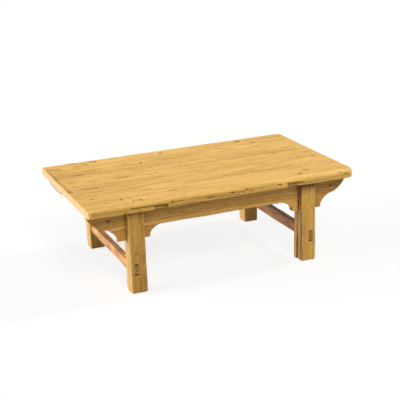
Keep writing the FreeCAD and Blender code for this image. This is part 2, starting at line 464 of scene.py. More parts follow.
def elm_figure():
    """Shader group for the figure of elm: rings with a porous early band, streaks, pores and checks."""
    nodes, given, out = new_group(
        "elm_figure",
        {"Vector": ("Place", "Grain"), "Float": ("Rings", "End Grain", "Shade", "Grime"),
         "Color": ("Pale", "Deep", "Pore", "End")},
        {"Color": ("Color",), "Float": ("Height",)},
    )
    drift = nodes.add("TexNoise", {"Vector": given["Place"], "Scale": 4.0, "Detail": 1.0}).outputs["Color"]
    drift = nodes.vector("SCALE", {0: drift, "Scale": 0.014})
    place = nodes.vector("ADD", {0: given["Place"], 1: drift})

    def running(along, side, detail):
        return nodes.grain_noise(place, given["Grain"], along, side, detail)

    streak = nodes.spread(running(1.1, 55, 5.0), 0.34, 0.66)
    blotch = nodes.spread(running(3, 9, 2.0), 0.3, 0.7)
    fibre = nodes.less(running(9, 700, 2.0), 0.5)
    feather = nodes.less(running(14, 420, 1.0), 0.5)
    phase = nodes.calc("FRACT", nodes.plus(given["Rings"], nodes.times(feather, 0.5)))
    early = nodes.spread(phase, 0.42, 0.08)
    late = nodes.spread(phase, 0.75, 0.97)
    tone = nodes.plus(given["Shade"], nodes.times(fibre, 0.5))
    for part, weight in ((streak, 0.36), (blotch, 0.26), (early, 0.18), (late, 0.3)):
        tone = nodes.plus(tone, nodes.times(part, weight))
    colour = nodes.blend(tone, given["Pale"], given["Deep"])
    ends = nodes.times(nodes.spread(given["End Grain"], 0.6, 0.95), 0.7)
    colour = nodes.blend(ends, colour, given["End"])
    porous = nodes.plus(0.25, nodes.times(early, 0.5))
    pore = nodes.times(nodes.spread(running(85, 1250, 1.0), 0.57, 0.66), porous)
    cloud = nodes.spread(nodes.noise(place, (11, 11, 11), 2.0), 0.46, 0.66)
    fleck = nodes.spread(running(40, 300, 1.0), 0.52, 0.68)
    grime = nodes.times(nodes.times(cloud, fleck), given["Grime"])
    rift = nodes.calc("ABSOLUTE", nodes.less(running(2.2, 75, 2.0), 0.5))
    broken = nodes.spread(running(2.5, 14, 1.0), 0.52, 0.64)
    check = nodes.times(nodes.spread(rift, 0.010, 0.002), broken)
    dark = nodes.most(nodes.most(pore, grime), nodes.times(check, 0.8))
    nodes.feed(nodes.blend(dark, colour, given["Pore"]), out["Color"])
    worn = nodes.less(nodes.times(fibre, 0.8), nodes.times(early, 0.35))
    nodes.feed(nodes.less(worn, nodes.plus(pore, check)), out["Height"])
    return nodes.tree


def old_use():
    """Shader group for age and painted shade: rubbed arrises, dirt in grooves, and marks that break up along
    the grain, some of them dirt and some painted shade.
    """
    nodes, given, out = new_group(
        "old_use",
        {"Vector": ("Place", "Grain"), "Float": ("Crest", "StainAndShade", "Dullness"),
         "Color": ("Color", "Rubbed", "Dirt")},
        {"Color": ("Color",), "Float": ("Roughness",)},
    )
    patchy = nodes.noise(given["Place"], (45, 45, 45), 3.0)
    rub = nodes.times(nodes.spread(given["Crest"], 0.05, 0.35), nodes.spread(patchy, 0.25, 0.65))
    colour = nodes.blend(nodes.times(rub, 0.4), given["Color"], given["Rubbed"])
    groove = nodes.spread(given["Crest"], -0.06, -0.5)
    broken = nodes.less(nodes.grain_noise(given["Place"], given["Grain"], 28, 240, 3.0), 0.5)
    mark = nodes.plus(given["StainAndShade"], nodes.times(broken, 1.2))
    mark = nodes.times(nodes.spread(mark, 0.2, 0.8), nodes.spread(given["StainAndShade"], 0.03, 0.2))
    dark = nodes.times(nodes.most(groove, mark), 0.85)
    nodes.feed(nodes.blend(dark, colour, given["Dirt"]), out["Color"])
    rough = nodes.plus(given["Dullness"], nodes.times(patchy, 0.25))
    nodes.feed(nodes.plus(rough, nodes.times(dark, 0.2)), out["Roughness"])
    return nodes.tree


FIGURE = elm_figure()
USE = old_use()


def elm(name, grain, dullness, grime, **colours):
    """Old elm, rubbed and waxed: figure along one axis, then wear, dirt and painted shade, and fine relief.
    """
    material = bpy.data.materials.new(name)
    nodes = fresh_nodes(material)
    lit = {label: linear(*colour) for label, colour in colours.items()}
    stored = {
        label: nodes.add("Attribute", attribute_name=label).outputs["Fac"]
        for label in ("rings", "crest", "end_grain", "stain_and_shade", "shade")
    }
    shared = {
        "Place": nodes.add("TexCoord").outputs["Object"],
        "Grain": [float(axis == grain) for axis in (ALONG, ACROSS, UPRIGHT)],
    }
    figure = nodes.add("Group", {
        **shared,
        "Rings": stored["rings"],
        "End Grain": stored["end_grain"],
        "Shade": stored["shade"],
        "Grime": grime,
        **{label: lit[label] for label in ("Pale", "Deep", "Pore", "End")},
    }, node_tree=FIGURE).outputs
    use = nodes.add("Group", {
        **shared,
        "Color": figure["Color"],
        "Crest": stored["crest"],
        "StainAndShade": stored["stain_and_shade"],
        "Dullness": dullness,
        **{label: lit[label] for label in ("Rubbed", "Dirt")},
    }, node_tree=USE).outputs
    bump = nodes.add("Bump", {"Height": figure["Height"], "Strength": 0.35, "Distance": 0.0006})
    surface = nodes.add("BsdfPrincipled", {
        "Base Color": use["Color"],
        "Roughness": use["Roughness"],
        "Normal": bump.outputs["Normal"],
        "Specular IOR Level": 0.25,
    })
    nodes.add("OutputMaterial", {"Surface": surface.outputs["BSDF"]})
    return material


leg_elm = elm(
    "leg_elm", UPRIGHT, dullness=0.24, grime=0.3,
    Pale=(232, 184, 93), Deep=(150, 102, 48), Pore=(98, 64, 28),
    End=(232, 188, 104), Rubbed=(240, 202, 132), Dirt=(72, 50, 28),
)
leg_cell = 0.0017
leg_arris = 0.003
foot_round = 0.004
foot_wear = 0.003
foot_wear_height = 0.03
split_depth = 0.035
split_top = 0.168
split_edge = 0.001
split_spring = 0.0035
spring_reach = (0.014, 0.002)
spring_heights = (0.17, 0)
slot_ease = 0.0004
tenon_sink = 0.0007
tenon_shoulder = 0.0025
tenon_width = 0.028
tenon_share = 0.6
tenon_ease = 0.0004
tenon_root = 0.004
tenon_cell = 0.0026
tenon_arris = 0.0008
rail_tenon = 0.016
wedge_rise = 0.005
wedge_tip = 0.001
wedge_length = 0.030
overrun = 0.02
face_mark_depth = 0.02
# Painted shadow under the top on the split leg's head, fading in between two heights.
split_head_painted_shadow = 0.6
split_head_shadow_heights = (0.235, 0.272)
# Painted light on the legs' left faces: its reach in from the face, and the heights over which it grows
# towards the foot.
painted_light_reach = (0.004, 0.001)
painted_light_heights = (0.22, 0.05)
slot_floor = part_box("spandrel_front_left")[0].z
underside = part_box("apron_front")[1].z
table_height = cad_high.z
tenon_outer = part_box("stretcher_wedges")[1].x
leg_low, leg_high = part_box("leg_front_right")
SPLIT_LEG = ("right", "front")
SPLIT = (
    (leg_low.x, leg_low.y + split_depth, split_top),
    (leg_low.x, leg_low.y + split_depth, 0),
    (0.012, 0.0034, 0.01),
    0.006,
)
RAIL_SHOULDERS = {"left": 0, "right": 0.004}
# Tone of each leg. The front right and back left legs are made paler as painted light: for front light that
# grows to the right, and on the back left leg where it stands in shade.
LEG_TONES_AND_PAINTED_LIGHT = {"front": {"left": 0.12, "right": -0.2}, "back": {"left": -0.45, "right": 0.0}}
# Painted light on each leg's left face, where the light from the left falls on it.
LEG_PAINTED_LIGHT = {"front": {"left": 0.3, "right": 0.0}, "back": {"left": 1.2, "right": 0.7}}
LEG_SMUDGES_AND_SHADE = {
    ("left", "front"): [
        (0.023, 0.140, 0.024, 0.160, 0.009, 0.012, 0.42),
        (0.046, 0.148, 0.049, 0.150, 0.005, 0.004, 0.4),
        # Painted shadow where the foot meets the floor.
        (0.025, 0.004, 0.050, 0.003, 0.012, 0.004, 0.5),
        (0.040, 0.250, 0.043, 0.285, 0.004, 0.01, 0.5),
        (0.004, 0.278, 0.006, 0.278, 0.003, 0.003, 0.9),
    ],
    ("right", "front"): [
        # Painted shadow where the foot meets the floor.
        (0.020, 0.002, 0.048, 0.002, 0.012, 0.004, 0.5),
        # Painted shadow under the top.
        (0.002, 0.280, 0.054, 0.282, 0.010, 0.012, 0.7),
        (0.044, 0.03, 0.045, 0.06, 0.003, 0.02, 0.35),
        (0.010, 0.12, 0.011, 0.19, 0.003, 0.03, 0.35),
        (0.020, 0.19, 0.021, 0.27, 0.002, 0.03, 0.3),
    ],
}


def outer_face(low, high, face):
    """Place across the table of a piece's outer face."""
    return low.y if face == "front" else high.y


def tenon_places(side):
    """Places along the table of the two sides of a stretcher's tenons."""
    return sorted((OUTWARD[side] * tenon_outer, OUTWARD[side] * (tenon_outer - rail_tenon)))


def tenon_heights(side):
    """Heights of the underside and the top of a stretcher's tenons, which are lower than the right rail."""
    low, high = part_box("stretcher_" + side)
    return low.z + RAIL_SHOULDERS[side], high.z - RAIL_SHOULDERS[side]


def head_tenons(side, face, grow):
    """Low and high corners of the two tenons on a leg's head, staggered across the slot."""
    low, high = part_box(f"leg_{face}_{side}")
    slot_low, slot_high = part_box("apron_" + face)
    inner_x, outer_x = (high.x, low.x) if side == "left" else (low.x, high.x)
    outer_cheek, inner_cheek = (low.y, slot_low.y), (slot_high.y, high.y)
    if face == "back":
        outer_cheek, inner_cheek = inner_cheek, outer_cheek
    corners = []
    for cheek, edge, way in ((outer_cheek, inner_x, OUTWARD[side]), (inner_cheek, outer_x, -OUTWARD[side])):
        start = edge + way * tenon_shoulder
        x = sorted((start, start + way * tenon_width))
        middle = sum(cheek) / 2
        half = (cheek[1] - cheek[0]) * tenon_share / 2
        near = (x[0] - grow, middle - half - grow, underside - tenon_root)
        far = (x[1] + grow, middle + half + grow, table_height - tenon_sink)
        corners.append((near, far))
    return corners


def spring_open(piece):
    """Lets the part of the front right leg behind its split stand off towards the foot."""
    points = read(piece)
    behind = ease(split_depth - split_edge, split_depth + split_edge, points[:, 1] - leg_low.y)
    inner = ease(*spring_reach, points[:, 0] - leg_low.x)
    points[:, 0] -= split_spring * behind * inner * ease(*spring_heights, points[:, 2])
    write(piece, points)


def face_marks(x, y, rows):
    """Marks on an upright face: start and end along and up it, half widths, and strength or depth."""
    return [((x + start, y, z), (x + end, y, to_z), (along, face_mark_depth, up), strength)
            for start, z, end, to_z, along, up, strength in rows]


def leg_marks(side, face):
    """Marks on a leg: dirt round the stretcher's tenon and in its split, smudges, and painted shade under
    the top, beside the apron in its slot and at the foot.
    """
    low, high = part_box(f"leg_{face}_{side}")
    slot_low, slot_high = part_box("apron_" + face)
    tenon_low, tenon_high = tenon_heights(side)
    outer_y = outer_face(low, high, face)
    tenon_x = OUTWARD[side] * (tenon_outer - rail_tenon / 2)
    middle = ((low.x + high.x) / 2, (low.y + high.y) / 2, 0)
    cheek_y = outer_face(slot_low, slot_high, face) - INWARD[face] * 0.003
    cheek_reach = (0.003, 0.004 if side == "left" else 0.007, 0.02)
    marks = [
        ((tenon_x, outer_y, tenon_low), (tenon_x, outer_y, tenon_high), 0.011, 0.25),
        # Painted shadow under the top.
        ((low.x, outer_y, underside), (high.x, outer_y, underside), (0.02, 0.03, 0.014), 0.35),
        # Painted shade at the foot, darkest at the floor.
        (middle, middle, (0.06, 0.06, 0.006), 0.6),
        *face_marks(low.x, outer_y, LEG_SMUDGES_AND_SHADE.get((side, face), ())),
    ]
    # Painted shade in the corners beside the apron, on both side faces of the leg.
    for x in (low.x, high.x):
        marks.append(((x, cheek_y, slot_floor), (x, cheek_y, underside), cheek_reach, 0.7))
    if (side, face) == SPLIT_LEG:
        marks.append((*SPLIT[:3], 1.0))
        # The split leg is darker along the front of its inner face.
        marks.append(((low.x, outer_y, 0), (low.x, outer_y, 0.285), (0.004, 0.011, 0.02), 0.75))
    return marks


def leg(side, face, seed):
    """One leg: worn post, then its slot, mortise and tenons."""
    node = f"leg_{face}_{side}"
    low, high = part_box(node)
    slot_low, slot_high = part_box("apron_" + face)
    tenon_low, tenon_high = tenon_heights(side)
    tenon_middle = (tenon_low + tenon_high) / 2
    outer_y, inward = outer_face(low, high, face), INWARD[face]
    split = (side, face) == SPLIT_LEG

    def shade(points):
        # Painted shadow under the top on the split leg's head.
        head = split * split_head_painted_shadow * ease(*split_head_shadow_heights, points[:, 2])
        # Painted light on the left face, stronger towards the foot.
        left_face = ease(*painted_light_reach, points[:, 0] - low.x)
        painted_light = LEG_PAINTED_LIGHT[face][side] * left_face * (0.25 + 0.75 * ease(*painted_light_heights, points[:, 2]))
        return LEG_TONES_AND_PAINTED_LIGHT[face][side] + head - painted_light

    wood = dict(
        grain=UPRIGHT, pith=(low.x - OUTWARD[side] * 0.05, low.y + 0.02, 0),
        pitch=0.0048, wander=0.007, wander_length=0.22, seed=seed, shade=shade)
    spots = places(0, underside, leg_cell * ring_stretch, foot_round)
    inset = end_inset(spots, foot_round)
    inset[spots > underside / 2] = 0
    radii = uneven(spots, leg_arris, seed) + foot_wear * ease(foot_wear_height, 0, spots)[:, None]
    near = np.array([low.x, low.y]) + inset[:, None]
    far = np.array([high.x, high.y]) - inset[:, None]
    post = made(node + "_elm", *bar(UPRIGHT, spots, near, far, leg_cell, leg_arris, radii))
    weather(post, wood, UPRIGHT, relief=0.0004, hollow=0.0006, cuts=[SPLIT] if split else [])
    if split:
        spring_open(post)
    x = tenon_places(side)
    fit(post, "DIFFERENCE", tool(block(
        (x[0] - tenon_ease, low.y - overrun, tenon_low - tenon_ease),
        (x[1] + tenon_ease, high.y + overrun, tenon_high + tenon_ease))))
    y = sorted((outer_y - inward * wedge_length, outer_y + inward * wedge_length))

    def flare(corners):
        depth = (corners[:, 1] - outer_y) * inward / wedge_length
        room = wedge_rise + (wedge_tip - wedge_rise) * depth
        corners[:, 2] += np.sign(corners[:, 2] - tenon_middle) * room
        return corners

    fit(post, "DIFFERENCE", tool(block(
        (x[0] - tenon_ease, y[0], tenon_low), (x[1] + tenon_ease, y[1], tenon_high), flare)))
    fit(post, "DIFFERENCE", tool(block(
        (low.x - overrun, slot_low.y - slot_ease, slot_floor - slot_ease),
        (high.x + overrun, slot_high.y + slot_ease, table_height + overrun))))
    fit(post, "UNION", tool(*(
        worn_bar(UPRIGHT, near, far, tenon_cell, tenon_arris, tenon_arris, seed)
        for near, far in head_tenons(side, face, 0))))
    dress(post, wood, leg_marks(side, face), leg_elm, node)


for number, (face, side) in enumerate((face, side) for face in FACES for side in SIDES):
    leg(side, face, 11 + 20 * number)

# Stretchers: one low elm rail between the two legs of each end, set nearly flush with their outer faces. A
# tenon at each end runs right through the leg and shows on its outer face. The right rail is higher than its
# tenons and has small shoulders there.
rail_elm = elm(
    "rail_elm", ACROSS, dullness=0.24, grime=0.3,
    Pale=(250, 192, 110), Deep=(164, 100, 36), Pore=(98, 62, 28),
    End=(176, 134, 66), Rubbed=(240, 200, 144), Dirt=(72, 48, 30),
)
rail_cell = 0.0019
rail_arris = 0.003
rail_tenon_root = 0.01
rail_patch = (0.02, 0.05, 0.012)
rail_patches = 0.5
RAIL_SHADES = {"left": 0.05, "right": 0.35}
TENON_STAINS = {"left": 0.46, "right": 0.3}


def stretcher(side, seed):
    """One stretcher: a worn rail and its two tenons. The right one is darker along its upper edge."""
    node = "stretcher_" + side
    low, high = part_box(node)
    front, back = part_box("leg_front_" + side)[1].y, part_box("leg_back_" + side)[0].y
    tenon_low, tenon_high = tenon_heights(side)
    wood = dict(
        grain=ACROSS, pith=(low.x + OUTWARD[side] * 0.06, 0, low.z + 0.05),
        pitch=0.0045, wander=0.008, wander_length=0.3, seed=seed,
        shade=lambda points: RAIL_SHADES[side] + rail_patches * noise(points, rail_patch, seed + 9))
    rail = made(node + "_elm", *worn_bar(
        ACROSS, (low.x, front, low.z), (high.x, back, high.z), rail_cell, rail_arris, tenon_arris, seed))
    weather(rail, wood, ACROSS, relief=0.0005, hollow=0.0009)
    x = tenon_places(side)
    for y in ((low.y + tenon_sink, front + rail_tenon_root), (back - rail_tenon_root, high.y - tenon_sink)):
        near = (x[0], y[0], tenon_low + tenon_sink)
        far = (x[1], y[1], tenon_high - tenon_sink)
        tenon = worn_bar(ACROSS, near, far, rail_cell, tenon_arris, tenon_arris, seed)
        fit(rail, "UNION", made("tenon", *tenon))
    middle_x = sum(x) / 2
    marks = [((middle_x, y, low.z), (middle_x, y, high.z), (0.03, 0.004, 0.03), TENON_STAINS[side])
             for y in (low.y, high.y)]
    if side == "right":
        marks.append(((middle_x, front, high.z), (middle_x, back, high.z), (0.02, 0.02, 0.0035), 0.75))
    dress(rail, wood, marks, rail_elm, node)


stretcher("left", 101)
stretcher("right", 131)

# Wedges: eight small tapered slips of darker elm, one above and one below each stretcher tenon. They are
# driven in from the leg's outer face to lock the tenon, and trimmed flush.
wedge_elm = elm(
    "wedge_elm", ACROSS, dullness=0.5, grime=0.2,
    Pale=(140, 100, 50), Deep=(104, 74, 36), Pore=(56, 38, 18),
    End=(132, 95, 46), Rubbed=(124, 90, 48), Dirt=(56, 40, 22),
)


def wedge_nodes():
    """Geometry nodes that set a tapered wedge on each point, turned by the two vectors stored there."""
    nodes, given, out = new_group(
        "wedges",
        {"Geometry": ("Points",), "Material": ("Material",),
         "Float": ("Width", "Thickness", "Tip", "Length")},
        {"Geometry": ("Geometry",)},
        "GeometryNodeTree",
    )
    cells = {"Vertices X": 7, "Vertices Y": 12, "Vertices Z": 4}
    blank = nodes.add("GeometryNodeMeshCube", {"Size": (1, 1, 1), **cells}).outputs["Mesh"]
    unit = nodes.add("SeparateXYZ", {0: nodes.add("GeometryNodeInputPosition").outputs[0]}).outputs
    driven = nodes.plus(unit["Y"], 0.5)
    thinning = nodes.times(nodes.less(given["Tip"], given["Thickness"]), driven)
    place = nodes.add("CombineXYZ", {
        "X": nodes.times(unit["X"], given["Width"]),
        "Y": nodes.times(driven, given["Length"]),
        "Z": nodes.times(nodes.plus(unit["Z"], 0.5), nodes.plus(given["Thickness"], thinning)),
    })
    slip = nodes.add("GeometryNodeSetPosition", {"Geometry": blank, "Position": place.outputs[0]})
    away, drive = (
        nodes.add("GeometryNodeInputNamedAttribute", {"Name": name}, data_type="FLOAT_VECTOR").outputs[0]
        for name in ("away", "drive"))
    turn = nodes.add("FunctionNodeAxesToRotation", {0: away, 1: drive}, primary_axis="Z", secondary_axis="Y")
    copies = nodes.add("GeometryNodeInstanceOnPoints", {
        "Points": nodes.add("GeometryNodeMeshToPoints", {"Mesh": given["Points"]}).outputs[0],
        "Instance": slip.outputs[0],
        "Rotation": turn.outputs[0],
    })
    real = nodes.add("GeometryNodeRealizeInstances", {"Geometry": copies.outputs[0]}).outputs[0]
    painted = nodes.add("GeometryNodeSetMaterial", {"Geometry": real, "Material": given["Material"]})
    nodes.feed(painted.outputs[0], out["Geometry"])
    return nodes.tree


wedge_places, wedge_away, wedge_drive = [], [], []
for side in SIDES:
    rail_low, rail_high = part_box("stretcher_" + side)
    tenon_low, tenon_high = tenon_heights(side)
    middle_x = OUTWARD[side] * (tenon_outer - rail_tenon / 2)
    for face in FACES:
        sunk_y = outer_face(rail_low, rail_high, face) + INWARD[face] * tenon_sink
        for height, way in ((tenon_high, 1), (tenon_low, -1)):
            wedge_places.append((middle_x, sunk_y, height))
            wedge_away.append((0, 0, way))
            wedge_drive.append((0, INWARD[face], 0))
wedge_points = made("wedge_points", np.array(wedge_places), np.zeros((0, 4), int))
for label, vectors in (("away", wedge_away), ("drive", wedge_drive)):
    stored = wedge_points.data.attributes.new(label, "FLOAT_VECTOR", "POINT")
    stored.data.foreach_set("vector", np.array(vectors, np.float32).ravel())
wedge_inputs = {
    "Width": rail_tenon,
    "Thickness": wedge_rise - tenon_ease,
    "Tip": wedge_tip - tenon_ease,
    "Length": wedge_length - tenon_sink,
    "Material": wedge_elm,
}
modifier = wedge_points.modifiers.new("wedges", "NODES")
modifier.node_group = wedge_nodes()
for socket in modifier.node_group.interface.items_tree:
    if socket.name in wedge_inputs:
        modifier[socket.identifier] = wedge_inputs[socket.name]
wedges = placed("stretcher_wedges_elm", worked(wedge_points))
bpy.data.objects.remove(wedge_points)
wedge_wood = dict(
    grain=ACROSS, pith=(0, 0, 0), pitch=0.003, wander=0.002, wander_length=0.05, seed=171,
    shade=lambda points: 0.0)
left_face = (-tenon_outer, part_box("leg_front_left")[0].y)
wedge_marks = [((*left_face, 0.06), (*left_face, 0.11), 0.03, 0.5)]
dress(wedges, wedge_wood, wedge_marks, wedge_elm, "stretcher_wedges")

# Spandrels: four small bracket boards of elm with upright grain, sawn with a cove and a short lip on each
# side. Each sits in the slot of a leg, under the apron, and carries the apron's curve on towards the leg.
spandrel_elm = elm(
    "spandrel_elm", UPRIGHT, dullness=0.35, grime=0.3,
    Pale=(232, 180, 92), Deep=(144, 98, 44), Pore=(90, 60, 26),
    End=(196, 146, 74), Rubbed=(238, 196, 116), Dirt=(58, 40, 22),
)
spandrel_cell = 0.0019
spandrel_arris = 0.0016
spandrel_outer_wing = 0.032
spandrel_inner_wing = 0.0255
spandrel_lip = 0.0125
upper_arris_share = 0.3
inner_cove_share = 0.1
ear_cove_share = 0.14
ear_turn_share = 0.578
ear_turn_height_share = 0.13
least_height = 0.0012
lip_slope = 0.0003
lip_break = 0.005
lip_break_rise = 0.8
wing_paleness = 1.1
lip_z = slot_floor + spandrel_lip
lip_inner_x = leg_low.x - spandrel_inner_wing
lip_outer_x = leg_high.x + spandrel_outer_wing
leg_sides = (-leg_high.x, -leg_low.x, leg_low.x, leg_high.x)
apron_low, apron_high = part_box("apron_front")
bracket_low, bracket_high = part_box("spandrel_front_right")
ear_turn = (
    leg_high.x + (apron_high.x - leg_high.x) * ear_turn_share,
    apron_low.z + (apron_high.z - apron_low.z) * ear_turn_height_share,
)


def bowed(start, end, share, count):
    """Points along an arc whose middle stands off its chord by a share of the chord."""
    start, end = np.array(start), np.array(end)
    chord = end - start
    length = np.hypot(*chord)
    half_turn = 2 * math.atan(2 * abs(share))
    radius = length / (2 * math.sin(half_turn))
    angle = np.linspace(-half_turn, half_turn, count)
    run = radius * np.sin(angle)
    rise = radius * (np.cos(angle) - math.cos(half_turn)) * np.sign(share)
    ahead = chord / length
    aside = np.array([-ahead[1], ahead[0]])
    return (start + end) / 2 + run[:, None] * ahead + rise[:, None] * aside


def bracket_outline():
    """Lower edge of the front right spandrel, from its inner tip to its outer tip."""
    foot_x = np.arange(lip_inner_x + lip_slope, lip_outer_x - lip_slope, spandrel_cell * 1.5)
    outer_cove = bowed((lip_outer_x + lip_slope, lip_z), ear_turn, ear_cove_share, 30)
    return np.concatenate([
        bowed((bracket_low.x, apron_low.z), (lip_inner_x - lip_slope, lip_z), inner_cove_share, 18),
        np.stack([foot_x, np.full(len(foot_x), slot_floor)], -1),
        [(lip_outer_x - lip_slope, slot_floor)],
        outer_cove[outer_cove[:, 1] < apron_low.z],
        [(bracket_high.x, apron_low.z)],
    ])


def sawn_board(name, outline, low, high, cell, radii):
    """Board sawn to an outline along its lower edge, under a straight upper edge."""
    spots, edge = outline[:, 0], outline[:, 1]
    near = np.stack([np.full(len(spots), low.y), np.minimum(edge, high.z - least_height)], -1)
    far = np.stack([np.full(len(spots), high.y), np.full(len(spots), high.z)], -1)
    return made(name, *bar(ALONG, spots, near, far, cell, spandrel_arris, radii))


def knocked_off(outline):
    """Spandrel's outline with the corner of its inner lip knocked off on the slant."""
    raised = slot_floor + lip_break_rise * (lip_inner_x + lip_break - outline[:, 0])
    broken = np.abs(outline[:, 0] - lip_inner_x - lip_break / 2) <= lip_break / 2 + lip_slope
    lifted = np.maximum(outline[:, 1], np.minimum(raised, lip_z))
    return np.stack([outline[:, 0], np.where(broken, lifted, outline[:, 1])], -1)


def mirrored(outline):
    """Outline of the left side from that of the right."""
    return outline[::-1] * (-1, 1)


def spandrel(side, face, seed):
    """One spandrel. The front right one has a knocked lip, a paler inner wing and a darker sawn edge."""
    node = f"spandrel_{face}_{side}"
    low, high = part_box(node)
    knocked = (side, face) == ("right", "front")
    outline = knocked_off(bracket_outline()) if knocked else bracket_outline()
    if side == "left":
        outline = mirrored(outline)

    def shade(points):
        inner_wing = ease(leg_low.x + 0.005, leg_low.x - 0.005, points[:, 0])
        return 0.1 - knocked * wing_paleness * inner_wing

    wood = dict(
        grain=UPRIGHT, pith=(low.x - 0.03, low.y - 0.05, 0),
        pitch=0.005, wander=0.006, wander_length=0.15, seed=seed, shade=shade)
    radii = uneven(outline[:, 0], spandrel_arris, seed)
    radii[:, 2:] *= upper_arris_share
    board = sawn_board(node + "_elm", outline, low, high, spandrel_cell, radii)
    weather(board, wood, ALONG, relief=0.0004, hollow=0.0005)
    outer_y = outer_face(low, high, face)
    marks = [((x, outer_y, slot_floor), (x, outer_y, high.z), (0.006, 0.02, 0.02), 0.55)
             for x in leg_sides if low.x < x < high.x]
    if side == "left":
        marks.append(((low.x + 0.07, outer_y, high.z), (low.x + 0.072, outer_y, high.z), 0.006, 0.9))
    if knocked:
        edge = ((low.x, low.y, high.z), (lip_inner_x, low.y, lip_z), (lip_inner_x, low.y, slot_floor))
        marks += [(start, end, (0.004, 0.02, 0.004), 0.65) for start, end in zip(edge, edge[1:])]
    dress(board, wood, marks, spandrel_elm, node)


for number, (face, side) in enumerate((face, side) for face in FACES for side in SIDES):
    spandrel(side, face, 201 + 20 * number)

# Aprons: two long elm boards on edge, one along the front and one along the back. Each runs through the
# slots of two legs and past them to a shaped ear at each end, close under the top.
apron_elm = elm(
    "apron_elm", ALONG, dullness=0.35, grime=0.35,
    Pale=(240, 190, 102), Deep=(146, 98, 44), Pore=(88, 58, 26),
    End=(190, 140, 72), Rubbed=(240, 196, 112), Dirt=(58, 40, 22),
)
apron_cell = 0.002
apron_step = 0.0055
apron_arris = 0.0026
apron_wave = 0.0007
ear_bulge_share = -0.13
seat_fade = 0.01
seat_crispness = 0.8
APRON_KNOTS = ((0.409, 0.2545), (-0.403, 0.257))


def apron_outline():
    """Lower edge of an apron from ear to ear."""
    cove = bowed((lip_outer_x, lip_z), ear_turn, ear_cove_share, 30)
    run = np.arange(apron_step / 2, bracket_high.x, apron_step)
    right = np.concatenate([
        np.stack([run, np.full(len(run), apron_low.z)], -1),
        [(bracket_high.x, apron_low.z)],
        cove[cove[:, 1] > apron_low.z],
        bowed(ear_turn, (apron_high.x, apron_high.z), ear_bulge_share, 36)[1:],
    ])
    return np.concatenate([mirrored(right), right])


def apron_tone_and_painted_light(points):
    """A little deeper at the right ear; between the legs deeper left of the middle and paler right of it, as
    painted light for front light that grows to the right.
    """
    past = ease(leg_high.x, leg_high.x + 0.02, np.abs(points[:, 0]))
    between = 0.12 * ease(0.15, -0.15, points[:, 0]) - 0.1 * ease(0, 0.2, points[:, 0])
    return past * np.where(points[:, 0] > 0, 0.05, 0.0) + (1 - past) * between


def apron(face, seed):
    """One apron, crisp where a spandrel seats under it and wavy between the spandrels."""
    node = "apron_" + face
    low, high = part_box(node)
    outline = apron_outline()
    reach = np.abs(outline[:, 0])
    between = ease(bracket_low.x, bracket_low.x - 0.03, reach)
    outline[:, 1] += apron_wave * (1 + line_noise(outline[:, 0], 0.06, seed)) * between
    radii = uneven(outline[:, 0], apron_arris, seed)
    seated = ease(bracket_low.x - seat_fade, bracket_low.x + seat_fade, reach)
    seated *= ease(bracket_high.x + seat_fade, bracket_high.x, reach)
    radii[:, :2] *= (1 - seat_crispness * seated)[:, None]
    radii[:, 2:] *= upper_arris_share
    wood = dict(
        grain=ALONG, pith=(0, low.y - 0.06, low.z - 0.02),
        pitch=0.0055, wander=0.012, wander_length=0.3, seed=seed, shade=apron_tone_and_painted_light)
    board = sawn_board(node + "_elm", outline, low, high, apron_cell, radii)
    weather(board, wood, ALONG, relief=0.0005, hollow=0.0007)
    outer_y = outer_face(low, high, face)
    marks = [((x, outer_y, low.z), (x, outer_y, high.z), (0.006, 0.02, 0.02), 0.5) for x in leg_sides]
    # Painted shadow of the top along the apron's upper edge.
    marks.append(((low.x, outer_y, high.z), (high.x, outer_y, high.z), (0.02, 0.02, 0.014), 0.4))
    marks += [((x, outer_y, z), (x + 0.004, outer_y, z), 0.005, 0.8) for x, z in APRON_KNOTS]
    marks.append(((-0.351, outer_y, low.z), (-0.351, outer_y, low.z), 0.006, 0.9))
    dress(board, wood, marks, apron_elm, node)


apron("front", 301)
apron("back", 331)

# Battens: three elm bars across the underside of the top. A dovetail key along each one slides into a
# housing from the back edge, and keeps the two boards flat and together.
batten_elm = elm(
    "batten_elm", ACROSS, dullness=0.55, grime=0.2,
    Pale=(192, 146, 84), Deep=(126, 90, 48), Pore=(82, 56, 28),
    End=(150, 112, 62), Rubbed=(210, 168, 106), Dirt=(58, 42, 26),
)
batten_cell = 0.003
batten_arris = 0.002
batten_apron_gap = 0.012
key_neck = 0.024
key_flare = 0.003
key_round = 0.0006
BATTENS = ("left", "middle", "right")


def dovetail(points, middle_x, crest_z):
    """Spreads a square bar into a dovetail, as wide as its neck at the underside and widest at its crest."""
    share = (points[:, 2] - underside) / (crest_z - underside)
    points[:, 0] = middle_x + (points[:, 0] - middle_x) * (1 + 2 * key_flare / key_neck * share)
    return points


